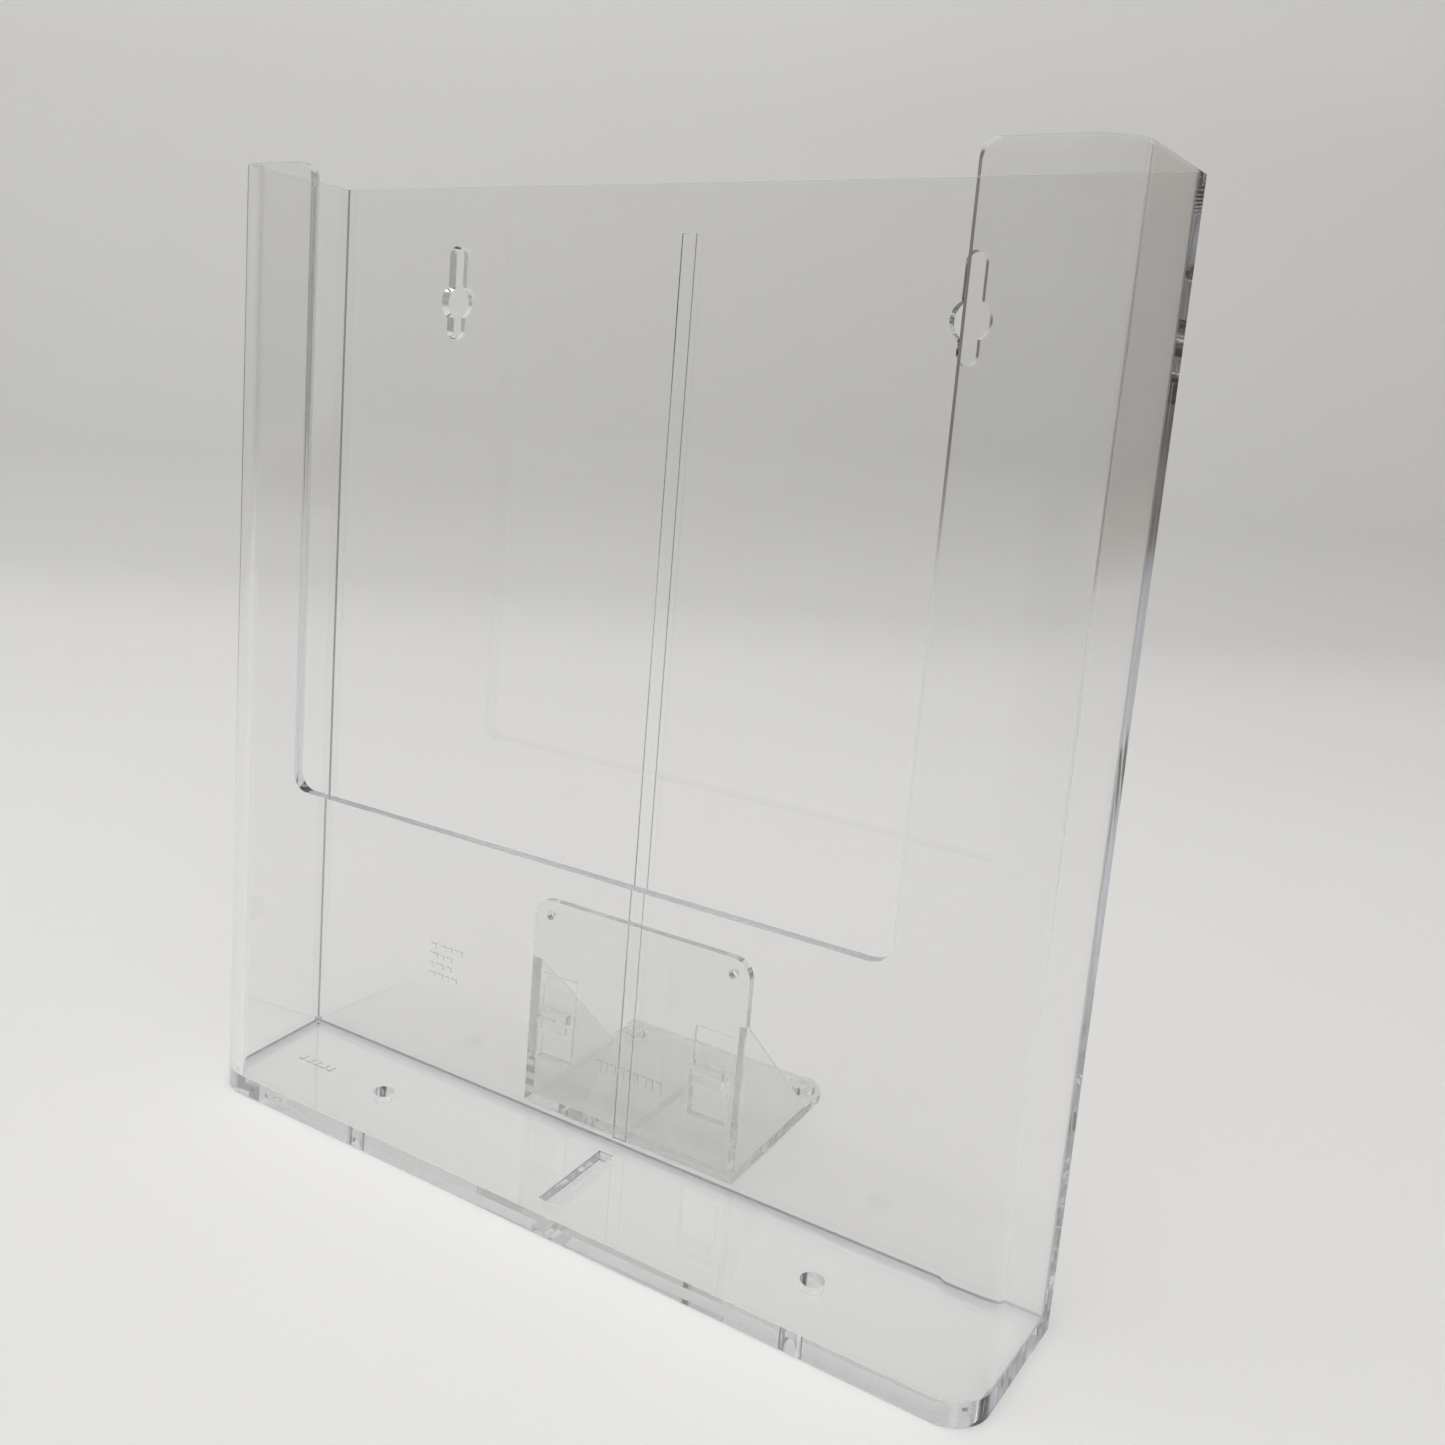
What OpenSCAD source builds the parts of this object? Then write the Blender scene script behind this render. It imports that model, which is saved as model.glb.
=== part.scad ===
// Wall or table magazine rack for A4 leaflets, with its loose foot bracket.
// Millimetres. +X is to the right seen from the front, +Y to the rear (the wall),
// +Z up. The origin is under the middle of the whole set, on the table.

/* [Holder] */
// Outside width of the holder across its back
holder_w = 236; // [220:1:250]
// Outside width across its front, a little narrower so the sides flare
front_w = 230; // [216:1:250]
// Outside depth of the holder, front face to wall face
holder_d = 45.5; // [36:0.5:60]
// Height of the holder
holder_h = 260; // [200:5:320]
// Thickness of the upright walls
wall = 3; // [2:0.5:4]
// Thickness of the floor slab
floor_t = 4.4; // [3:0.2:6]
// Plan radius of the two front upright corners, outside
front_r = 10; // [6:1:18]
// Plan radius of the same two corners inside the pocket
pocket_r = 9; // [4:1:16]

/* [Front opening] */
// Clear width between the two full-height front strips
opening_w = 173; // [150:1:200]
// Height of the low front lip
lip_h = 96; // [60:2:140]
// Radius of the lower corners of the opening
opening_r = 5; // [2:0.5:12]
// Radius of the inner top corner of each strip
strip_r = 4; // [1:0.5:8]

/* [Wall keyholes] */
// Distance between the two keyholes
key_pitch = 147; // [120:1:180]
// Height of the round part of a keyhole
key_z = 229.5; // [180:0.5:250]
// Diameter of the round part of a keyhole
key_dia = 9.6; // [8:0.2:12]
// Width of the slots above and below the round part
key_slot_w = 5; // [3.5:0.1:7]
// Reach of the upper slot from the middle of the round part
key_up = 15; // [10:0.5:22]
// Reach of the lower slot from the middle of the round part
key_down = 10; // [7:0.5:14]

/* [Floor features] */
// Distance between the two screw holes in the floor
floor_hole_pitch = 136.5; // [100:0.5:170]
// Diameter of the screw holes in the floor
floor_hole_dia = 6; // [4:0.2:8]
// Distance of the screw holes behind the front face
floor_hole_y = 22.5; // [12:0.5:32]
// Width of the divider slot in the floor
slot_w = 4; // [2:0.5:6]
// Length of the divider slot in the floor
slot_l = 27.5; // [15:0.5:34]
// Depth of the divider slot in the floor
slot_depth = 2.4; // [1:0.2:4]
// Width of the divider groove up the inside of the back
groove_w = 4; // [2:0.5:6]
// Depth of the divider groove
groove_depth = 0.5; // [0.2:0.1:1]
// Height at which the divider groove ends
groove_top = 248; // [150:1:255]

/* [Foot bracket] */
// Width of the foot bracket
foot_w = 70; // [50:1:90]
// Height of its upright plate
foot_h = 63.5; // [45:0.5:80]
// Depth of its base plate
foot_d = 62.5; // [45:0.5:85]
// Thickness of the upright plate and the base plate
foot_t = 2.3; // [1.8:0.1:3]
// Thickness of the two side gussets
gusset_t = 2.4; // [1.8:0.1:3]
// Height of the gussets on the upright plate
gusset_h = 45.5; // [25:0.5:60]
// Length of the gussets along the base plate
gusset_l = 46; // [25:1:58]
// Radius of the top corners of the plate
foot_r = 5.5; // [2:0.5:10]
// Distance between the two small holes near the top corners
pin_pitch = 59.6; // [40:0.2:66]
// Diameter of those small holes
pin_dia = 2.5; // [1.5:0.1:4]
// Height of those small holes
pin_z = 58.8; // [40:0.2:60]
// Distance between the two bosses on the base plate
boss_pitch = 59; // [40:1:62]
// Outside diameter of a boss
boss_dia = 8; // [6:0.5:12]
// Hole through a boss
boss_hole = 3.8; // [2.5:0.1:5]
// Height of a boss over the table
boss_h = 4.6; // [3:0.2:8]
// Distance of the bosses in front of the rear edge
boss_inset = 7.5; // [5:0.5:12]

/* [Hooks] */
// Distance between the two hook windows
hook_pitch = 51; // [40:0.2:56]
// Width of a hook window
window_w = 11.6; // [8:0.2:16]
// Bottom of a hook window
window_z0 = 15.4; // [8:0.2:20]
// Top of the open part of a hook window
window_z1 = 28.4; // [22:0.2:34]
// Top of the shallow recess behind the hook
recess_z1 = 41; // [34:0.5:50]
// Depth of that recess, from the rear face
recess_depth = 1.1; // [0.5:0.1:1.6]
// Width of a hook
hook_w = 10; // [6:0.2:11]
// How far a hook stands out of the plate
hook_out = 2.6; // [1.5:0.1:5]
// Thickness of a hook's down-turned lip
hook_lip_t = 1.2; // [0.8:0.1:2]
// Top of a hook
hook_z1 = 31.4; // [26:0.2:36]
// Bottom of a hook's lip
hook_z0 = 25.4; // [20:0.2:30]

/* [Layout] */
// Distance from the holder's front face to the foot's upright plate
foot_y = 53; // [49:0.5:120]
// Sideways position of the foot, from the middle of the holder
foot_x = -4; // [-60:0.5:60]

/* [Hidden] */
$fn = 96;
eps = 0.05;
total_d = foot_y + foot_d;
front_y = -total_d / 2;              // front face of the holder
back_in = holder_d - wall;           // inside face of the back, from the front face
flare = atan((holder_w - front_w) / 2 / holder_d);
window_x = [-hook_pitch / 2, hook_pitch / 2];
mark_h = 0.25;                       // height of the plain moulding marks

// Plan outline, front edge on y = 0: wf wide there and wr wide at y = d, with rounded
// front corners that run smoothly into the sides, and square rear corners.
module plan(wf, wr, d, r) {
    a = atan((wr - wf) / 2 / d);             // flare of each side
    cx = wf / 2 - r * (1 - sin(a)) / cos(a); // centre of the corner arc
    tx = cx + r * cos(a);                    // where the arc meets the side
    ty = r - r * sin(a);
    polygon([[-cx, 0], [cx, 0], [tx, ty], [wr / 2, d], [-wr / 2, d], [-tx, ty]]);
    for (s = [-1, 1]) translate([s * cx, r]) circle(r = r);
}

// Extrude an X-Z drawing from y0 to y1.
module along_y(y0, y1) {
    translate([0, y1, 0]) rotate([90, 0, 0]) linear_extrude(y1 - y0) children();
}

// Extrude a Y-Z drawing from x0 to x1.
module along_x(x0, x1) {
    translate([x0, 0, 0]) rotate([90, 0, 90]) linear_extrude(x1 - x0) children();
}

// The U-shaped opening of the front, drawn in X-Z.
module opening() {
    half = opening_w / 2;
    translate([-half, lip_h + opening_r]) square([opening_w, holder_h]);
    translate([-half + opening_r, lip_h]) square([opening_w - 2 * opening_r, opening_r + eps]);
    for (s = [-1, 1]) translate([s * (half - opening_r), lip_h + opening_r]) circle(r = opening_r);
    for (s = [-1, 1]) difference() {     // rounds the strips' inner top corners
        translate([s * (half + strip_r / 2 - eps), holder_h - strip_r / 2 + eps])
            square([strip_r + 2 * eps, strip_r + 2 * eps], center = true);
        translate([s * (half + strip_r), holder_h - strip_r]) circle(r = strip_r);
    }
}

// A keyhole with a slot above and a shorter slot below, drawn in X-Z.
module keyhole() {
    circle(d = key_dia);
    r = key_slot_w / 2;
    translate([-r, -key_down + r]) square([key_slot_w, key_up + key_down - 2 * r]);
    translate([0, key_up - r]) circle(r = r);
    translate([0, -key_down + r]) circle(r = r);
}

// Two short plain bars, standing in for moulding marks.
module marks(l) {
    for (i = [0, 1]) translate([i * 2, -1.8 * i - 0.5]) square([l - 4 * i, 0.9]);
}

// Half-width of the pocket at a distance y behind the front face.
function pocket_half(y) = front_w / 2 + y * tan(flare) - wall / cos(flare);

module holder_body() {
    color([0.86, 0.9, 0.93, 0.45]) translate([0, front_y, 0]) {
        difference() {
            linear_extrude(holder_h) plan(front_w, holder_w, holder_d, front_r);
            // pocket
            translate([0, wall, floor_t]) linear_extrude(holder_h)
                plan(2 * pocket_half(wall), 2 * pocket_half(back_in), back_in - wall, pocket_r);
            // front opening between the strips
            along_y(-1, wall + eps) opening();
            // wall keyholes
            for (s = [-1, 1]) along_y(back_in - 1, holder_d + 1)
                translate([s * key_pitch / 2, key_z]) keyhole();
            // floor screw holes
            for (s = [-1, 1]) translate([s * floor_hole_pitch / 2, floor_hole_y, -1])
                cylinder(d = floor_hole_dia, h = floor_t + 2);
            // divider slot in the floor
            translate([-slot_w / 2, floor_hole_y - slot_l / 2, floor_t - slot_depth])
                cube([slot_w, slot_l, slot_depth + 1]);
            // divider groove up the back
            translate([-groove_w / 2, back_in - 1, floor_t + eps])
                cube([groove_w, 1 + groove_depth, groove_top - floor_t]);
        }
        // moulding marks on the floor and on the inside of the back
        translate([-101, floor_hole_y, floor_t - eps]) linear_extrude(mark_h + eps) marks(16);
        along_y(back_in - mark_h, back_in + eps) translate([-70, 38]) marks(18);
    }
}

// Upright plate of the foot, drawn in X-Z.
module plate() {
    half = foot_w / 2;
    translate([-half, 0]) square([foot_w, foot_h - foot_r]);
    translate([-half + foot_r, 0]) square([foot_w - 2 * foot_r, foot_h]);
    for (s = [-1, 1]) translate([s * (half - foot_r), foot_h - foot_r]) circle(r = foot_r);
}

// Base plate of the foot, drawn in X-Y, with rounded rear corners.
module base() {
    mirror([0, 1, 0]) translate([0, -foot_d, 0]) plan(foot_w, foot_w, foot_d, boss_inset);
}

module hook() {
    // arm out of the plate and the lip turned down from it, drawn in Y-Z
    along_x(-hook_w / 2, hook_w / 2) {
        r = hook_lip_t / 2;
        translate([-hook_out, window_z1]) square([hook_out + 1, hook_z1 - window_z1]);
        translate([-hook_out, hook_z0 + r]) square([hook_lip_t, hook_z1 - hook_z0 - r]);
        translate([-hook_out + r, hook_z0 + r]) circle(r = r);
    }
}

module foot_bracket() {
    boss_y = foot_d - boss_inset;
    color([0.84, 0.88, 0.92, 0.45]) translate([foot_x, front_y + foot_y, 0]) {
        difference() {
            union() {
                along_y(0, foot_t) plate();
                linear_extrude(foot_t) base();
                // side gussets
                for (s = [-1, 1]) along_x(s > 0 ? foot_w / 2 - gusset_t : -foot_w / 2,
                                          s > 0 ? foot_w / 2 : -foot_w / 2 + gusset_t)
                    polygon([[eps, 1], [eps, gusset_h], [foot_t, gusset_h - foot_t * 0.4],
                             [gusset_l, foot_t], [gusset_l, 1]]);
                for (s = [-1, 1]) translate([s * boss_pitch / 2, boss_y, 0])
                    cylinder(d = boss_dia, h = boss_h);
            }
            // open part of the hook windows
            for (x = window_x) translate([x - window_w / 2, -1, window_z0])
                cube([window_w, foot_t + 2, window_z1 - window_z0]);
            // shallow recess above each window, from behind
            for (x = window_x) translate([x - window_w / 2, foot_t - recess_depth, window_z1 - 1])
                cube([window_w, 2, recess_z1 - window_z1 + 1]);
            // small holes near the top corners
            for (s = [-1, 1]) along_y(-1, foot_t + 1)
                translate([s * pin_pitch / 2, pin_z]) circle(d = pin_dia);
            // holes through the bosses
            for (s = [-1, 1]) translate([s * boss_pitch / 2, boss_y, -1])
                cylinder(d = boss_hole, h = boss_h + 2);
        }
        for (x = window_x) translate([x, 0, 0]) hook();
        // moulding mark on the front of the plate
        along_y(-mark_h, eps) translate([-14, 20]) marks(28);
    }
}

holder_body();
foot_bracket();
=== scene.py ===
"""Looks of a clear plastic magazine rack and its loose foot bracket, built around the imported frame.

Both pieces are moulded from clear polystyrene, and each one is rebuilt here as one closed mesh. The
slot, the groove and the marks have rounded edges. The main edges come out sharp: see round_edges.
"""
import math

import bmesh
import bpy
from mathutils import Euler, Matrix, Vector


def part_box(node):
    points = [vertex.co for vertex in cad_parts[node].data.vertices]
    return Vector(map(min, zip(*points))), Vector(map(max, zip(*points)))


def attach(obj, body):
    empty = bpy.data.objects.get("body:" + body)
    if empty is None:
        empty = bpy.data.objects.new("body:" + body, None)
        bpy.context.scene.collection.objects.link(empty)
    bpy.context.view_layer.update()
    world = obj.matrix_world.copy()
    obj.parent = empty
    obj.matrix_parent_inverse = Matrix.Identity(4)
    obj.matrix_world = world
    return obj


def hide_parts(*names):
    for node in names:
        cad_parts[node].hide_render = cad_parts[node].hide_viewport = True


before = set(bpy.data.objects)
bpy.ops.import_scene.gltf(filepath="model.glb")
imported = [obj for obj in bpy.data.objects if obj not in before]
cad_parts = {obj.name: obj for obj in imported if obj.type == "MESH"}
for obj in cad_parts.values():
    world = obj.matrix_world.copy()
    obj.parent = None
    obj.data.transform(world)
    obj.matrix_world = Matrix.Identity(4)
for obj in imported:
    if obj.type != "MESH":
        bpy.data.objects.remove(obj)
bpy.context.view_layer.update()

MM = 0.001
HOLDER_LOW, HOLDER_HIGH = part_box("holder_body")
FOOT_LOW, FOOT_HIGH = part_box("foot_bracket")

# --- Holder ---------------------------------------------------------------------------------
REAR_W = HOLDER_HIGH.x - HOLDER_LOW.x      # outside width across the back
FLARE = 3 * MM                             # how much each side leans out towards the rear
FRONT_W = REAR_W - 2 * FLARE
DEPTH = HOLDER_HIGH.y - HOLDER_LOW.y
HEIGHT = HOLDER_HIGH.z - HOLDER_LOW.z
FRONT_Y = HOLDER_LOW.y
WALL = 3 * MM
FLOOR_T = 4.4 * MM
FRONT_R = 10 * MM                          # plan radius of the front corners, outside
POCKET_R = 9 * MM                          # and inside
BACK_IN = DEPTH - WALL                     # inside face of the back, behind the front face

OPENING_W = 173 * MM
LIP_H = 96 * MM
OPENING_R = 5 * MM
STRIP_R = 4 * MM

KEY_PITCH, KEY_Z = 147 * MM, 229.5 * MM
KEY_R, KEY_SLOT_R = 4.8 * MM, 2.5 * MM
KEY_UP, KEY_DOWN = 15 * MM, 10 * MM

FLOOR_HOLE_X, FLOOR_HOLE_Y, FLOOR_HOLE_R = 68.25 * MM, 22.5 * MM, 3 * MM
SLOT_W, SLOT_L, SLOT_DEPTH = 4 * MM, 27.5 * MM, 2.4 * MM
GROOVE_W, GROOVE_DEPTH = 4 * MM, 0.5 * MM
GROOVE_LOW, GROOVE_TOP = FLOOR_T + 1.2 * MM, 248 * MM
# Width and colour of painted shade: thin dark lines in the pocket's inner corners and down the
# groove's right-hand corner.
SHADE_LINE_W, SHADE_LINE_COLOR = 0.45 * MM, (0.22, 0.22, 0.22, 1)

# --- Foot bracket ---------------------------------------------------------------------------
PLATE_W = FOOT_HIGH.x - FOOT_LOW.x
PLATE_H = FOOT_HIGH.z - FOOT_LOW.z
FOOT_X = (FOOT_HIGH.x + FOOT_LOW.x) / 2
FOOT_T = 2.3 * MM
HOOK_OUT = 2.6 * MM
PLATE_Y = FOOT_LOW.y + HOOK_OUT            # front face of the upright plate
FOOT_D = FOOT_HIGH.y - PLATE_Y
PLATE_R = 5.5 * MM
BASE_R = 7.5 * MM
GUSSET_T, GUSSET_H, GUSSET_L = 2.4 * MM, 45.5 * MM, 46 * MM
PIN_X, PIN_Z, PIN_R = 29.8 * MM, 58.8 * MM, 1.25 * MM
BOSS_X, BOSS_R, BOSS_HOLE_R, BOSS_H = 29.5 * MM, 4 * MM, 1.9 * MM, 4.6 * MM
HOOK_X, HOOK_W, HOOK_LIP_T = 25.5 * MM, 10 * MM, 1.2 * MM
HOOK_LOW, HOOK_HIGH = 25.4 * MM, 31.4 * MM
WINDOW_W, WINDOW_LOW, WINDOW_HIGH = 11.6 * MM, 15.4 * MM, 28.4 * MM
RECESS_HIGH, RECESS_DEPTH = 41 * MM, 1.1 * MM

# --- Moulding finish ------------------------------------------------------------------------
# The rounding asked for. Main edges and the pocket's corners don't get it: see round_edges.
HOLDER_EDGE_R = 0.5 * MM                   # the holder's main edges
FOOT_EDGE_R = 0.28 * MM                    # the bracket's main edges, and the divider slot
POCKET_EDGE_R = 0.22 * MM                  # where the pocket's faces meet each other
GROOVE_EDGE_R = 0.2 * MM
MARK_EDGE_R = 0.07 * MM
EDGE_STEPS = 3
SHARP_ANGLE = math.radians(25)             # edges that turn by more than this are bevelled
MERGE = 0.001 * MM                         # points closer than this become one
NEAR = 0.1 * MM                            # how close an edge is to a face that it lies on
OVER = 1 * MM                              # how far a cutter runs past the plastic

# Rows of dashes in place of lettering. A row is its dashes' lengths in mm.
MARK_H = 0.25 * MM                         # how far a mark stands out
DASH_GAP = 0.8                             # between the dashes, in mm
FLOOR_MARK = [(1.6, 2.4, 1.6, 2.4, 1.6)]
FLOOR_MARK_LEFT, FLOOR_MARK_FORWARD, FLOOR_DASH_H = -101 * MM, 1.5 * MM, 2.6 * MM
BACK_MARK = [(2.2, 3, 1.4, 3), (3, 1.4, 2.2), (1.4, 3, 2.2), (2.2, 2.2, 1.4, 2.2)]
BACK_MARK_LEFT, BACK_MARK_TOP, BACK_DASH_H, BACK_ROW_PITCH = -70 * MM, 42 * MM, 1.5 * MM, 3 * MM
FOOT_MARK = [(2, 1.2, 2, 2, 1.2, 2, 2, 1.2, 2)]
FOOT_MARK_LEFT, FOOT_MARK_TOP, FOOT_DASH_H = -11 * MM, 18 * MM, 3 * MM

# Where the edges of each mark lie, to tell them from all others.
MARK_REACH = 1.2 * MARK_H
FLOOR_MARK_RIGHT, FLOOR_MARK_HALF = -80 * MM, 5 * MM
BACK_MARK_RIGHT, BACK_MARK_Z = -40 * MM, (28 * MM, 46 * MM)
FOOT_MARK_HALF, FOOT_MARK_Z = 15 * MM, (16 * MM, 23 * MM)

# Straight pieces in the arcs.
SMALL_ARC, HOOK_ARC, PLATE_ARC, KEY_ARC, CORNER_ARC = 10, 8, 14, 16, 20
HOLE_STEPS, BOSS_HOLE_STEPS, PIN_STEPS = 40, 32, 24


# --- Outlines -------------------------------------------------------------------------------
def arc(cx, cy, r, start, end, steps):
    """Points on an arc from start to end, in degrees, with both ends."""
    angles = [math.radians(start + (end - start) * i / steps) for i in range(steps + 1)]
    return [(cx + r * math.cos(a), cy + r * math.sin(a)) for a in angles]


def circle(cx, cy, r, steps=HOLE_STEPS):
    return arc(cx, cy, r, 0, 360, steps)[:-1]


def rectangle(x0, y0, x1, y1):
    return [(x0, y0), (x1, y0), (x1, y1), (x0, y1)]


def mirrored(points):
    """A half outline on the right of x = 0, closed by its mirror image."""
    return points + [(-x, y) for x, y in reversed(points)]


def plan(front_w, rear_w, depth, r):
    """Outline from above: front edge on y = 0, rounded front corners, flared sides."""
    flare = math.atan2((rear_w - front_w) / 2, depth)
    cx = front_w / 2 - r * (1 - math.sin(flare)) / math.cos(flare)
    corner = arc(cx, r, r, -90, -math.degrees(flare), CORNER_ARC)
    return mirrored(corner + [(rear_w / 2, depth)])


def pocket_width(y):
    """Inside width of the holder at a distance y behind its front face."""
    flare = math.atan2((REAR_W - FRONT_W) / 2, DEPTH)
    return FRONT_W + 2 * y * math.tan(flare) - 2 * WALL / math.cos(flare)


def opening_outline():
    """The U-shaped opening of the front, with the strips' rounded inner top corners."""
    half, top = OPENING_W / 2, HEIGHT - STRIP_R
    low = arc(half - OPENING_R, LIP_H + OPENING_R, OPENING_R, -90, 0, SMALL_ARC)
    high = arc(half + STRIP_R, top, STRIP_R, 180, 90, SMALL_ARC)
    above = HEIGHT + OVER
    return mirrored(low + high[:-1] + [(half + STRIP_R, HEIGHT), (half + STRIP_R, above)])


def keyhole_outline(cx):
    """A round hole with a slot above it and a shorter one below."""
    meet = math.degrees(math.acos(KEY_SLOT_R / KEY_R))
    upper = arc(0, KEY_UP - KEY_SLOT_R, KEY_SLOT_R, 0, 90, SMALL_ARC)[:-1]
    lower = arc(0, -KEY_DOWN + KEY_SLOT_R, KEY_SLOT_R, -90, 0, SMALL_ARC)[1:]
    side = arc(0, 0, KEY_R, -meet, meet, KEY_ARC)
    right = [(0, -KEY_DOWN)] + lower + side + upper + [(0, KEY_UP)]
    left = [(-x, y) for x, y in reversed(right[1:-1])]
    return [(cx + x, KEY_Z + y) for x, y in right + left]


def plate_outline():
    half, top = PLATE_W / 2, PLATE_H - PLATE_R
    return mirrored([(half, 0)] + arc(half - PLATE_R, top, PLATE_R, 0, 90, PLATE_ARC))


def base_outline():
    """Base plate from above, y counted from the plate's front face, rounded rear corners."""
    half = PLATE_W / 2
    return mirrored([(half, 0)] + arc(half - BASE_R, FOOT_D - BASE_R, BASE_R, 0, 90, PLATE_ARC))


def gusset_outline():
    """A gusset from the side, as (y, z)."""
    low, shallow = 1 * MM, 0.05 * MM
    slope_start = GUSSET_H - FOOT_T * 0.4
    return [(shallow, low), (shallow, GUSSET_H), (FOOT_T, slope_start), (GUSSET_L, FOOT_T),
            (GUSSET_L, low)]


def hook_outline():
    """A hook from the side, as (y, z): the arm out of the plate and its down-turned lip."""
    r = HOOK_LIP_T / 2
    inside = FOOT_T / 2
    tip = arc(-HOOK_OUT + r, HOOK_LOW + r, r, 180, 360, HOOK_ARC)
    return tip + [(-HOOK_OUT + HOOK_LIP_T, WINDOW_HIGH), (inside, WINDOW_HIGH),
                  (inside, HOOK_HIGH), (-HOOK_OUT, HOOK_HIGH)]


# --- Solids ---------------------------------------------------------------------------------
PLACE = {"x": lambda a, b, h: (h, a, b), "y": lambda a, b, h: (a, h, b),
         "z": lambda a, b, h: (a, b, h)}


def prism(bm, axis, points, low, high):
    """Adds to bm the outline points, extruded along an axis from low to high."""
    place = PLACE[axis]
    ends = [[bm.verts.new(place(a, b, h)) for a, b in points] for h in (low, high)]
    count = len(points)
    for i in range(count):
        j = (i + 1) % count
        bm.faces.new((ends[0][i], ends[0][j], ends[1][j], ends[1][i]))
    bm.faces.new(ends[0][::-1])
    bm.faces.new(ends[1])


def solid(name, prisms):
    """One mesh object that holds these prisms, each given as (axis, points, low, high)."""
    bm = bmesh.new()
    for axis, points, low, high in prisms:
        prism(bm, axis, points, low, high)
    bmesh.ops.recalc_face_normals(bm, faces=bm.faces)
    mesh = bpy.data.meshes.new(name)
    bm.to_mesh(mesh)
    bm.free()
    piece = bpy.data.objects.new(name, mesh)
    bpy.context.scene.collection.objects.link(piece)
    return piece


def combine(piece, operation, prisms):
    """Cuts these prisms out of the piece, or adds them to it."""
    tool = solid("tool", prisms)
    modifier = piece.modifiers.new("combine", "BOOLEAN")
    modifier.operation = operation
    modifier.solver = "EXACT"
    modifier.object = tool
    depsgraph = bpy.context.evaluated_depsgraph_get()
    made = bpy.data.meshes.new_from_object(piece.evaluated_get(depsgraph))
    piece.modifiers.clear()
    old = piece.data
    piece.data = made
    bpy.data.meshes.remove(old)
    bpy.data.objects.remove(tool)


def moved(prisms, offset):
    """The same prisms, moved by offset."""
    axes = {"x": (1, 2, 0), "y": (0, 2, 1), "z": (0, 1, 2)}
    result = []
    for axis, points, low, high in prisms:
        a, b, h = (offset[i] for i in axes[axis])
        result.append((axis, [(p + a, q + b) for p, q in points], low + h, high + h))
    return result


def dashes(x, top, rows, height, pitch):
    """Outlines of the dashes of a mark, from its left end x and the lower edge of its top row."""
    outlines = []
    for i, row in enumerate(rows):
        left, low = x, top - i * pitch
        for length in row:
            outlines.append(rectangle(left, low, left + length * MM, low + height))
            left += (length + DASH_GAP) * MM
    return outlines


def round_edges(piece, rules):
    """Bevels every sharp edge. Each rule is (test on the edge's middle, radius); the first that
    fits an edge gives its radius. Blender clamps a bevel to the shortest edge around it, and the
    cuts and the earlier rules leave very short ones. So the pocket's corners come out at about
    0.01 mm and the last rule's main edges at about 0.001 mm, which leaves them sharp."""
    bm = bmesh.new()
    bm.from_mesh(piece.data)
    bmesh.ops.remove_doubles(bm, verts=bm.verts, dist=MERGE)
    bmesh.ops.dissolve_degenerate(bm, edges=bm.edges, dist=MERGE)
    for index in range(len(rules)):
        chosen = []
        for edge in bm.edges:
            if len(edge.link_faces) != 2 or edge.calc_face_angle(0) < SHARP_ANGLE:
                continue
            middle = (edge.verts[0].co + edge.verts[1].co) / 2
            first = next(i for i, (test, _) in enumerate(rules) if test(middle))
            if first == index:
                chosen.append(edge)
        bmesh.ops.bevel(bm, geom=chosen, offset=rules[index][1], offset_type="OFFSET",
                        segments=EDGE_STEPS, profile=0.5, affect="EDGES", clamp_overlap=True)
    bm.to_mesh(piece.data)
    bm.free()


def finish_mesh(piece, material):
    """Smooth shading whose normals stay true on the flat faces, and the material."""
    piece.data.shade_smooth()
    weighted = piece.modifiers.new("flat_faces_stay_flat", "WEIGHTED_NORMAL")
    weighted.mode = "FACE_AREA"
    weighted.weight = 100
    piece.data.materials.clear()
    piece.data.materials.append(material)


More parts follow.
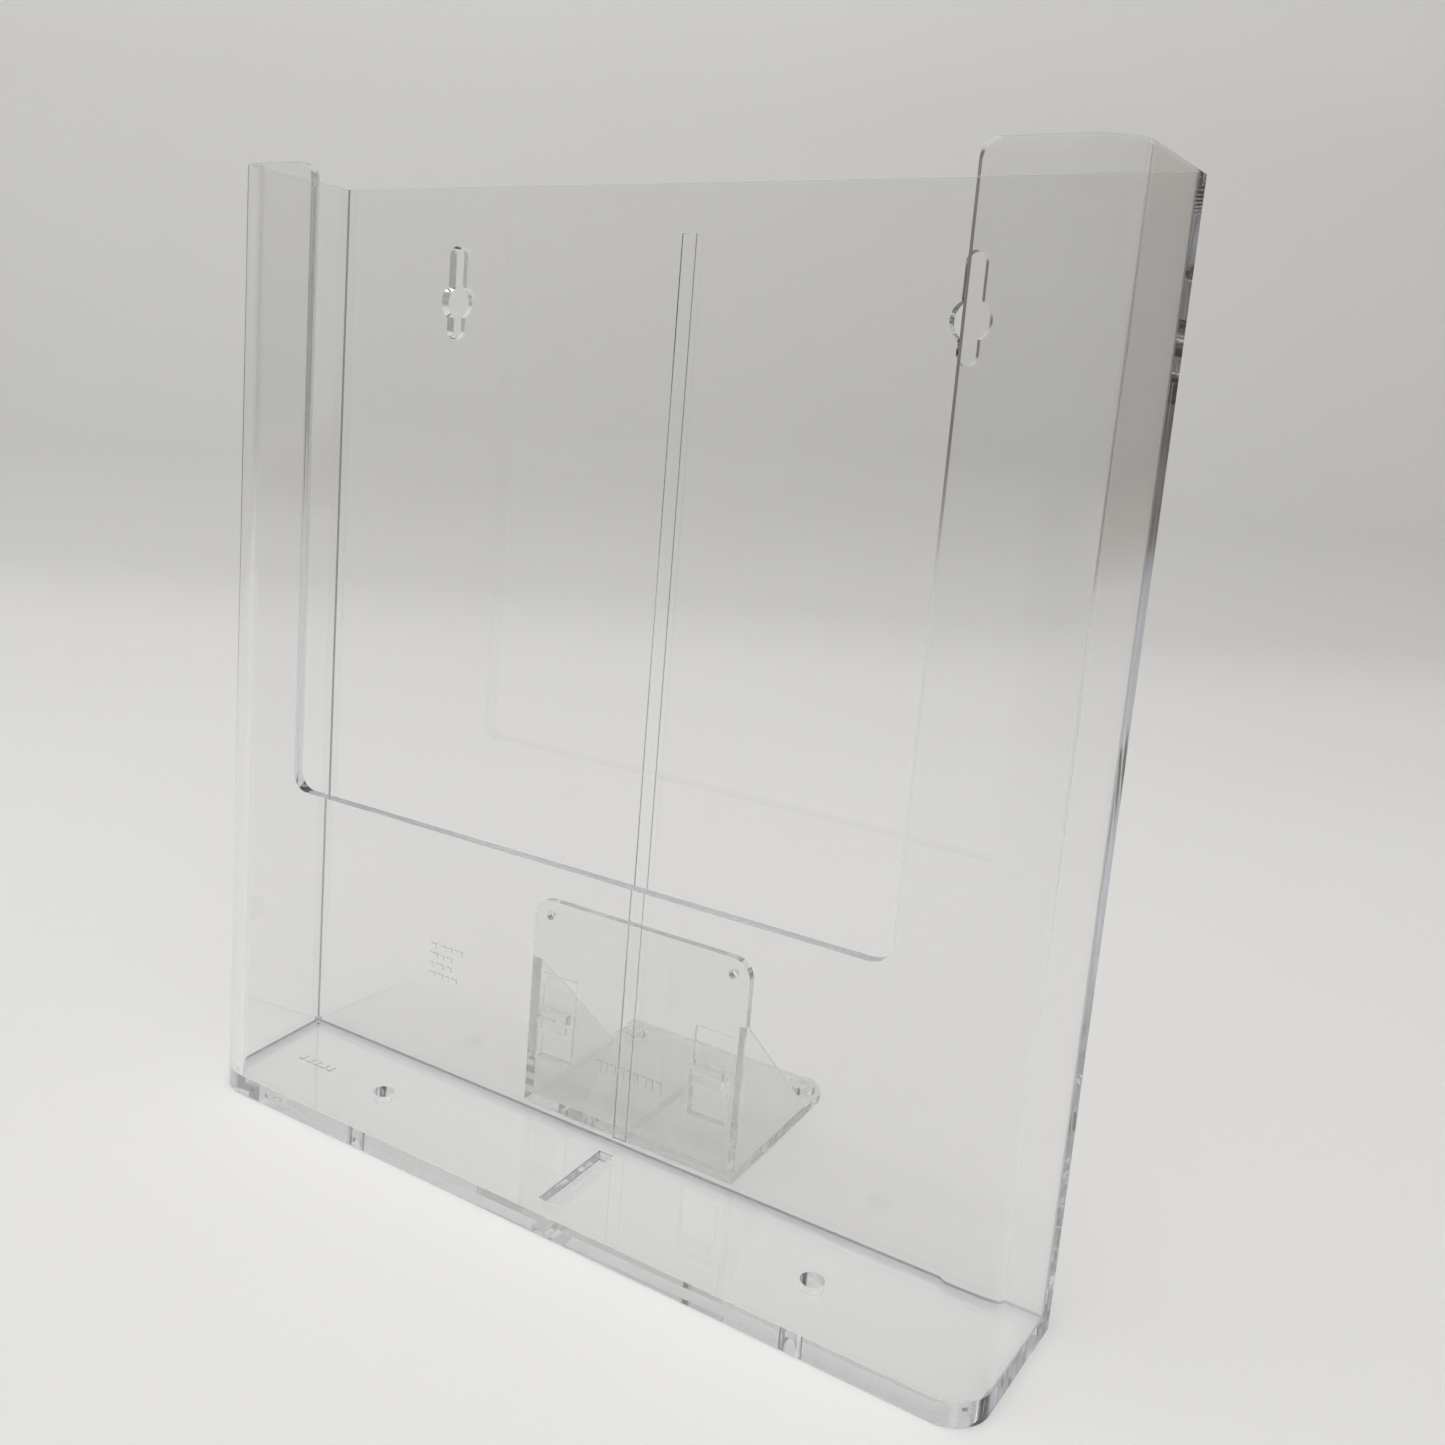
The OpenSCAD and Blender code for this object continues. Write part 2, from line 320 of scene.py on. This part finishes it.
# --- Pieces ---------------------------------------------------------------------------------
def make_holder(material):
    at = (0, FRONT_Y, 0)
    outer = [("z", plan(FRONT_W, REAR_W, DEPTH, FRONT_R), 0, HEIGHT)]
    inner_plan = [(x, y + WALL) for x, y in
                  plan(pocket_width(WALL), pocket_width(BACK_IN), BACK_IN - WALL,
                       POCKET_R)]
    pocket = [("z", inner_plan, FLOOR_T, HEIGHT + OVER)]
    cuts = [("y", opening_outline(), -OVER, WALL + 0.5 * OVER)]
    for side in (-1, 1):
        keyhole = keyhole_outline(side * KEY_PITCH / 2)
        cuts.append(("y", keyhole, BACK_IN - OVER, DEPTH + OVER))
        hole = circle(side * FLOOR_HOLE_X, FLOOR_HOLE_Y, FLOOR_HOLE_R)
        cuts.append(("z", hole, -OVER, FLOOR_T + OVER))
    slot_front, slot_rear = FLOOR_HOLE_Y - SLOT_L / 2, FLOOR_HOLE_Y + SLOT_L / 2
    slot = rectangle(-SLOT_W / 2, slot_front, SLOT_W / 2, slot_rear)
    cuts.append(("z", slot, FLOOR_T - SLOT_DEPTH, FLOOR_T + OVER))
    groove = rectangle(-GROOVE_W / 2, GROOVE_LOW, GROOVE_W / 2, GROOVE_TOP)
    cuts.append(("y", groove, BACK_IN - OVER, BACK_IN + GROOVE_DEPTH))
    marks = [("z", bar, FLOOR_T - MARK_H, FLOOR_T + MARK_H)
             for bar in dashes(FLOOR_MARK_LEFT, FLOOR_HOLE_Y - FLOOR_MARK_FORWARD, FLOOR_MARK,
                               FLOOR_DASH_H, 0)]
    marks += [("y", bar, BACK_IN - MARK_H, BACK_IN + MARK_H)
              for bar in dashes(BACK_MARK_LEFT, BACK_MARK_TOP, BACK_MARK, BACK_DASH_H,
                                BACK_ROW_PITCH)]

    holder = solid("holder_shell", moved(outer, at))
    combine(holder, "DIFFERENCE", moved(pocket, at))
    combine(holder, "DIFFERENCE", moved(cuts, at))
    combine(holder, "UNION", moved(marks, at))

    back_y = FRONT_Y + BACK_IN
    floor_top = FLOOR_T + 0.6 * MARK_H

    def on_mark(p):
        on_floor = p.x < FLOOR_MARK_RIGHT and abs(p.z - FLOOR_T) < MARK_REACH
        on_floor = on_floor and abs(p.y - FRONT_Y - FLOOR_HOLE_Y) < FLOOR_MARK_HALF
        on_back = p.x < BACK_MARK_RIGHT and abs(p.y - back_y) < MARK_REACH
        return on_floor or (on_back and BACK_MARK_Z[0] < p.z < BACK_MARK_Z[1])

    def on_groove(p):
        in_groove = abs(p.x) < 0.6 * GROOVE_W and p.z > floor_top + 0.5 * MM
        return in_groove and abs(p.y - back_y) < 2 * GROOVE_DEPTH

    def on_slot(p):
        return abs(p.x) < 0.6 * SLOT_W and p.z < floor_top and p.z > 0.5 * MM and \
            abs(p.y - FRONT_Y - FLOOR_HOLE_Y) < 0.51 * SLOT_L

    def in_pocket(p):
        on_floor = abs(p.z - FLOOR_T) < NEAR and p.y < back_y + NEAR
        on_rear = abs(p.y - back_y) < NEAR and p.z > FLOOR_T and \
            abs(p.x) > pocket_width(BACK_IN) / 2 - 0.5 * MM
        return (on_floor or on_rear) and p.z < HEIGHT - NEAR

    round_edges(holder, [(on_mark, MARK_EDGE_R), (on_groove, GROOVE_EDGE_R),
                         (on_slot, FOOT_EDGE_R), (in_pocket, POCKET_EDGE_R),
                         (lambda p: True, HOLDER_EDGE_R)])
    finish_mesh(holder, material)
    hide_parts("holder_body")
    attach(holder, "holder")


def make_foot(material):
    at = (FOOT_X, PLATE_Y, 0)
    half = PLATE_W / 2
    boss_y = FOOT_D - BASE_R
    body = [[("z", base_outline(), 0, FOOT_T)]]
    for side in (-1, 1):
        low, high = sorted((side * half, side * (half - GUSSET_T)))
        body.append([("x", gusset_outline(), low, high)])
        body.append([("z", circle(side * BOSS_X, boss_y, BOSS_R), 0.5 * FOOT_T, BOSS_H)])
    cuts, recesses, hooks = [], [], []
    for side in (-1, 1):
        x0, x1 = side * HOOK_X - WINDOW_W / 2, side * HOOK_X + WINDOW_W / 2
        window = rectangle(x0, WINDOW_LOW, x1, WINDOW_HIGH)
        cuts.append(("y", window, -OVER, FOOT_T + OVER))
        cuts.append(("y", circle(side * PIN_X, PIN_Z, PIN_R, PIN_STEPS), -OVER, FOOT_T + OVER))
        bore = circle(side * BOSS_X, boss_y, BOSS_HOLE_R, BOSS_HOLE_STEPS)
        cuts.append(("z", bore, -OVER, BOSS_H + OVER))
        recess = rectangle(x0, WINDOW_HIGH - OVER, x1, RECESS_HIGH)
        recesses.append(("y", recess, FOOT_T - RECESS_DEPTH, FOOT_T + OVER))
        low, high = side * HOOK_X - HOOK_W / 2, side * HOOK_X + HOOK_W / 2
        hooks.append(("x", hook_outline(), low, high))
    marks = [("y", bar, -MARK_H, MARK_H)
             for bar in dashes(FOOT_MARK_LEFT, FOOT_MARK_TOP, FOOT_MARK, FOOT_DASH_H, 0)]

    foot = solid("foot_shell", moved([("y", plate_outline(), 0, FOOT_T)], at))
    for part in body:
        combine(foot, "UNION", moved(part, at))
    combine(foot, "DIFFERENCE", moved(cuts, at))
    combine(foot, "DIFFERENCE", moved(recesses, at))
    combine(foot, "UNION", moved(hooks, at))
    combine(foot, "UNION", moved(marks, at))

    def on_mark(p):
        return abs(p.y - PLATE_Y) < MARK_REACH and abs(p.x - FOOT_X) < FOOT_MARK_HALF and \
            FOOT_MARK_Z[0] < p.z < FOOT_MARK_Z[1]

    round_edges(foot, [(on_mark, MARK_EDGE_R), (lambda p: True, FOOT_EDGE_R)])
    finish_mesh(foot, material)
    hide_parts("foot_bracket")
    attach(foot, "foot")


# --- Materials ------------------------------------------------------------------------------
def node_material(name):
    material = bpy.data.materials.new(name)
    material.use_nodes = True
    nodes = material.node_tree.nodes
    links = material.node_tree.links
    return material, nodes, links, nodes["Principled BSDF"], nodes["Material Output"]


def noise(nodes, links, coordinates, scale, detail):
    texture = nodes.new("ShaderNodeTexNoise")
    texture.inputs["Scale"].default_value = scale
    texture.inputs["Detail"].default_value = detail
    links.new(coordinates, texture.inputs["Vector"])
    return texture.outputs["Fac"]


def ramp(nodes, links, value, low, high, low_out, high_out):
    """Maps a value from low..high to low_out..high_out, and holds it at both ends."""
    node = nodes.new("ShaderNodeMapRange")
    node.inputs["From Min"].default_value = low
    node.inputs["From Max"].default_value = high
    node.inputs["To Min"].default_value = low_out
    node.inputs["To Max"].default_value = high_out
    links.new(value, node.inputs["Value"])
    return node.outputs["Result"]


def math_node(nodes, links, operation, value, *numbers):
    """A math node on a value and plain numbers."""
    node = nodes.new("ShaderNodeMath")
    node.operation = operation
    links.new(value, node.inputs[0])
    for i, number in enumerate(numbers):
        node.inputs[i + 1].default_value = number
    return node.outputs["Value"]


def join(nodes, links, operation, values):
    """One value from several, joined two at a time by this operation."""
    total = values[0]
    for value in values[1:]:
        node = nodes.new("ShaderNodeMath")
        node.operation = operation
        links.new(total, node.inputs[0])
        links.new(value, node.inputs[1])
        total = node.outputs["Value"]
    return total


def painted_shade_lines(nodes, links, place, body):
    """The body colour, with thin dark lines of painted shade where two of the pocket's faces meet and
    down the groove's right-hand corner."""
    split = nodes.new("ShaderNodeSeparateXYZ")
    links.new(place, split.inputs["Vector"])
    x, y, z = (split.outputs[axis] for axis in "XYZ")
    back_y = FRONT_Y + BACK_IN
    half_middle = pocket_width(DEPTH / 2) / 2
    half_slope = (pocket_width(DEPTH) - pocket_width(0)) / 2 / DEPTH
    half = math_node(nodes, links, "MULTIPLY_ADD", y, half_slope,
                     half_middle - half_slope * (FRONT_Y + DEPTH / 2))
    across = math_node(nodes, links, "ABSOLUTE", x)
    to_side = join(nodes, links, "SUBTRACT", [across, half])
    faces = [math_node(nodes, links, "COMPARE", to_side, 0, SHADE_LINE_W),
             math_node(nodes, links, "COMPARE", y, back_y, SHADE_LINE_W),
             math_node(nodes, links, "COMPARE", z, FLOOR_T, SHADE_LINE_W)]
    corner = math_node(nodes, links, "GREATER_THAN", join(nodes, links, "ADD", faces), 1.5)
    middle, reach = (GROOVE_LOW + GROOVE_TOP) / 2, (GROOVE_TOP - GROOVE_LOW) / 2
    groove = join(nodes, links, "MULTIPLY",
                  [math_node(nodes, links, "COMPARE", x, GROOVE_W / 2, 0.7 * SHADE_LINE_W),
                   math_node(nodes, links, "COMPARE", y, back_y, 2 * GROOVE_DEPTH),
                   math_node(nodes, links, "COMPARE", z, middle, reach)])
    mix = nodes.new("ShaderNodeMix")
    mix.data_type = "RGBA"
    mix.inputs["A"].default_value = body
    mix.inputs["B"].default_value = SHADE_LINE_COLOR
    links.new(join(nodes, links, "MAXIMUM", [corner, groove]), mix.inputs["Factor"])
    return mix.outputs["Result"]


STYRENE_IOR = 1.59
HAZE_SCALE, HAZE_ROUGHNESS = 35, 0.03
RUB_STRETCH, RUB_ROUGHNESS = (40, 40, 900), 0.05   # level streaks, thin in height
HAZE_NOISE, RUB_NOISE = (0.45, 0.8), (0.68, 0.78)  # where in the noise each one sets in and is full
WAVE_SCALE = 14


def clear_plastic(name, body, tint, density, wave, shade_lines=None):
    """Clear moulded polystyrene: polished faces with the slow waves of a cooled moulding, hazy
    patches and fine rub marks in the roughness, and a cool tint that builds up with depth."""
    material, nodes, links, bsdf, output = node_material(name)
    place = nodes.new("ShaderNodeTexCoord").outputs["Object"]
    bsdf.inputs["Base Color"].default_value = body
    # Painted shade: dark lines in the pocket's corners and the groove, from the function given.
    if shade_lines:
        links.new(shade_lines(nodes, links, place, body), bsdf.inputs["Base Color"])
    bsdf.inputs["Transmission Weight"].default_value = 1
    bsdf.inputs["IOR"].default_value = STYRENE_IOR
    haze = noise(nodes, links, place, HAZE_SCALE, 4)
    haze = ramp(nodes, links, haze, *HAZE_NOISE, 0, HAZE_ROUGHNESS)
    rub_place = nodes.new("ShaderNodeMapping")
    rub_place.inputs["Scale"].default_value = RUB_STRETCH
    links.new(place, rub_place.inputs["Vector"])
    rubs = noise(nodes, links, rub_place.outputs["Vector"], 1, 3)
    rubs = ramp(nodes, links, rubs, *RUB_NOISE, 0, RUB_ROUGHNESS)
    links.new(join(nodes, links, "ADD", [haze, rubs]), bsdf.inputs["Roughness"])
    bump = nodes.new("ShaderNodeBump")
    bump.inputs["Strength"].default_value = 1
    bump.inputs["Distance"].default_value = wave
    links.new(noise(nodes, links, place, WAVE_SCALE, 1), bump.inputs["Height"])
    links.new(bump.outputs["Normal"], bsdf.inputs["Normal"])
    volume = nodes.new("ShaderNodeVolumeAbsorption")
    volume.inputs["Color"].default_value = tint
    volume.inputs["Density"].default_value = density
    links.new(volume.outputs["Volume"], output.inputs["Volume"])
    return material


def grey(level):
    return (level, level, level, 1)


PAPER_COLORS = (0.825, 0.82, 0.81, 1), (0.865, 0.865, 0.85, 1)
PAPER_GRAIN = 2.5
PAPER_ROUGHNESS, PAPER_SPECULAR = 0.75, 0.2

# Painted shade on the sheet, darker away from the rack: (measure, from, to, [(share of the way,
# colour)]). Up its walls, towards the front of the room, and in a warm dark patch around the patch
# centre below.
PAPER_SHADES = [
    ("Z", 0.0, 0.6, [(0, grey(1)), (0.06, grey(0.83)), (0.2, grey(0.76)), (1, grey(0.98))]),
    ("Y", -3.5, -0.6, [(0, grey(0.6)), (1, grey(1))]),
    ("shade_patch", 0.05, 0.65, [(0, (0.4, 0.37, 0.36, 1)), (0.4, (0.44, 0.37, 0.33, 1)),
                           (0.7, (0.68, 0.56, 0.5, 1)), (1, grey(1))]),
]
SHADE_PATCH_CENTRE = (1.7, 1.05, 0.25)           # centre of the painted dark patch, on the bend behind the rack, off to the right


def paper(name):
    """The pale sheet that the rack stands on, with a faint grain and painted shade: darker up its
    walls, towards the front of the room and in a warm patch off to the right.
    """
    material, nodes, links, bsdf, _ = node_material(name)
    place = nodes.new("ShaderNodeTexCoord").outputs["Object"]
    mix = nodes.new("ShaderNodeMix")
    mix.data_type = "RGBA"
    mix.inputs["A"].default_value, mix.inputs["B"].default_value = PAPER_COLORS
    links.new(noise(nodes, links, place, PAPER_GRAIN, 3), mix.inputs["Factor"])
    split = nodes.new("ShaderNodeSeparateXYZ")
    links.new(place, split.inputs["Vector"])
    away = nodes.new("ShaderNodeVectorMath")
    away.operation = "DISTANCE"
    away.inputs[1].default_value = SHADE_PATCH_CENTRE
    links.new(place, away.inputs[0])
    measures = {"Y": split.outputs["Y"], "Z": split.outputs["Z"], "shade_patch": away.outputs["Value"]}
    shade = mix.outputs["Result"]
    # Each measure multiplies the sheet's colour by its painted shade.
    for measure, low, high, stops in PAPER_SHADES:
        fade = nodes.new("ShaderNodeValToRGB")
        elements = fade.color_ramp.elements
        elements[0].color, elements[1].color = stops[0][1], stops[-1][1]
        for position, color in stops[1:-1]:
            elements.new(position).color = color
        links.new(ramp(nodes, links, measures[measure], low, high, 0, 1), fade.inputs["Fac"])
        multiply = nodes.new("ShaderNodeMix")
        multiply.data_type, multiply.blend_type = "RGBA", "MULTIPLY"
        multiply.inputs["Factor"].default_value = 1
        links.new(shade, multiply.inputs["A"])
        links.new(fade.outputs["Color"], multiply.inputs["B"])
        shade = multiply.outputs["Result"]
    links.new(shade, bsdf.inputs["Base Color"])
    bsdf.inputs["Roughness"].default_value = PAPER_ROUGHNESS
    bsdf.inputs["Specular IOR Level"].default_value = PAPER_SPECULAR
    return material


# --- Stage, light and camera ----------------------------------------------------------------
CAMERA_PLACE = (0.17667, -0.31231, 0.20926)
CAMERA_TURN = (80.057, -4.063, 32.432)     # degrees, about X, Y and Z
CAMERA_LENS, CAMERA_SENSOR = 33.8, 36      # in mm
CAMERA_CLIP = 0.01
CAMERA_SHIFT = (0.0592, -0.0656)           # the picture is a crop to one side of the lens axis


def make_camera():
    data = bpy.data.cameras.new("camera")
    data.lens = CAMERA_LENS
    data.sensor_width = CAMERA_SENSOR
    data.shift_x, data.shift_y = CAMERA_SHIFT
    data.clip_start = CAMERA_CLIP
    camera = bpy.data.objects.new("camera", data)
    camera.location = CAMERA_PLACE
    camera.rotation_euler = Euler([math.radians(a) for a in CAMERA_TURN])
    bpy.context.scene.collection.objects.link(camera)
    bpy.context.scene.camera = camera


# The sheet's flat middle, the plan radius of its corners, and the bend up into its walls.
SHEET_RIGHT, SHEET_REAR, SHEET_FRONT = 4.0, 0.6, -4.0
SHEET_CORNER_R, SHEET_BEND_R, SHEET_TOP = 1.0, 0.5, 1.3
SHEET_FLAT_EDGE = 0.05                     # width of the flat ring just inside the bend
SHEET_DROP = 0.4 * MM                      # the sheet lies this far below the rack
SHEET_CORNER_STEPS, SHEET_BEND_STEPS = 16, 24


def sheet_ring(bm, out, z):
    """The sheet's rounded outline, moved out from the edge of its flat middle, at height z."""
    r = SHEET_CORNER_R + out
    x = SHEET_RIGHT - SHEET_CORNER_R
    rear, front = SHEET_REAR - SHEET_CORNER_R, SHEET_FRONT + SHEET_CORNER_R
    points = []
    for i, (cx, cy) in enumerate([(x, rear), (-x, rear), (-x, front), (x, front)]):
        points += arc(cx, cy, r, 90 * i, 90 * (i + 1), SHEET_CORNER_STEPS)
    return [bm.verts.new((px, py, z - SHEET_DROP)) for px, py in points]


def make_sweep(material):
    """A paper sweep: a flat floor that curves up into walls all round, close behind the rack."""
    curve = arc(0, SHEET_BEND_R, SHEET_BEND_R, -90, 0, SHEET_BEND_STEPS)
    profile = [(-SHEET_FLAT_EDGE, 0)] + curve + [(SHEET_BEND_R, SHEET_TOP)]
    bm = bmesh.new()
    rings = [sheet_ring(bm, out, z) for out, z in profile]
    bm.faces.new(rings[0])
    for low, high in zip(rings, rings[1:]):
        for i in range(len(low)):
            j = (i + 1) % len(low)
            bm.faces.new((low[i], high[i], high[j], low[j]))
    mesh = bpy.data.meshes.new("sweep")
    bm.to_mesh(mesh)
    bm.free()
    mesh.shade_smooth()
    mesh.materials.append(material)
    sweep = bpy.data.objects.new("sweep", mesh)
    sweep.rotation_euler.z = math.radians(CAMERA_TURN[2])
    bpy.context.scene.collection.objects.link(sweep)


def area_light(name, place, target, size, power):
    data = bpy.data.lights.new(name, "AREA")
    data.shape = "RECTANGLE"
    data.size, data.size_y = size
    data.energy = power
    lamp = bpy.data.objects.new(name, data)
    lamp.location = place
    lamp.rotation_euler = (Vector(target) - Vector(place)).to_track_quat("-Z", "Y").to_euler()
    bpy.context.scene.collection.objects.link(lamp)


SKY_COLOR = (1, 0.99, 0.98, 1)
SKY_LEVELS = 0.33, 0.72                    # around the room, and overhead
SKY_HEIGHTS = 0.45, 0.95                   # where one starts to turn into the other
WINDOW_WAY = (0.85, -0.5, 0.3)
WINDOW_GLOW, WINDOW_EDGE = 0.5, 0.3


def make_world():
    """Soft room light: bright overhead and, softly, on the window side at the front right."""
    world = bpy.data.worlds.new("room")
    world.use_nodes = True
    nodes, links = world.node_tree.nodes, world.node_tree.links
    direction = nodes.new("ShaderNodeTexCoord").outputs["Generated"]
    split = nodes.new("ShaderNodeSeparateXYZ")
    links.new(direction, split.inputs["Vector"])
    level = ramp(nodes, links, split.outputs["Z"], *SKY_HEIGHTS, *SKY_LEVELS)
    facing = nodes.new("ShaderNodeVectorMath")
    facing.operation = "DOT_PRODUCT"
    facing.inputs[1].default_value = Vector(WINDOW_WAY).normalized()
    links.new(direction, facing.inputs[0])
    glow = ramp(nodes, links, facing.outputs["Value"], WINDOW_EDGE, 1, 0, WINDOW_GLOW)
    background = nodes["Background"]
    background.inputs["Color"].default_value = SKY_COLOR
    links.new(join(nodes, links, "ADD", [level, glow]), background.inputs["Strength"])
    bpy.context.scene.world = world


SOFTBOX_PLACE, SOFTBOX_TARGET = (-0.1, -0.6, 1.3), (0, 0, 0)
SOFTBOX_SIZE, SOFTBOX_POWER = (1.5, 1.3), 7.0

# Each plastic's surface colour, the tint of its depth, how dense that tint is, and its waves.
HOLDER_PLASTIC = (0.97, 0.97, 0.97, 1), (0.81, 0.825, 0.855, 1), 10.0, 0.15 * MM
FOOT_PLASTIC = (0.93, 0.93, 0.925, 1), (0.82, 0.84, 0.835, 1), 22.0, 0.08 * MM

DIFFUSE_BOUNCES = 8
PIPED_BOUNCES = 80                         # light runs along the walls, bouncing inside them

make_camera()
make_world()
make_sweep(paper("white_paper"))
area_light("softbox", SOFTBOX_PLACE, SOFTBOX_TARGET, SOFTBOX_SIZE, SOFTBOX_POWER)
# The holder's plastic carries the painted shade lines in its corners and groove.
make_holder(clear_plastic("clear_polystyrene", *HOLDER_PLASTIC, painted_shade_lines))
make_foot(clear_plastic("smoky_polystyrene", *FOOT_PLASTIC))

scene = bpy.context.scene
scene.view_settings.view_transform = "Standard"
scene.cycles.blur_glossy = 0               # light reaches the paper under the clear floor
scene.cycles.diffuse_bounces = DIFFUSE_BOUNCES
scene.cycles.max_bounces = PIPED_BOUNCES
scene.cycles.transmission_bounces = PIPED_BOUNCES
scene.cycles.glossy_bounces = PIPED_BOUNCES
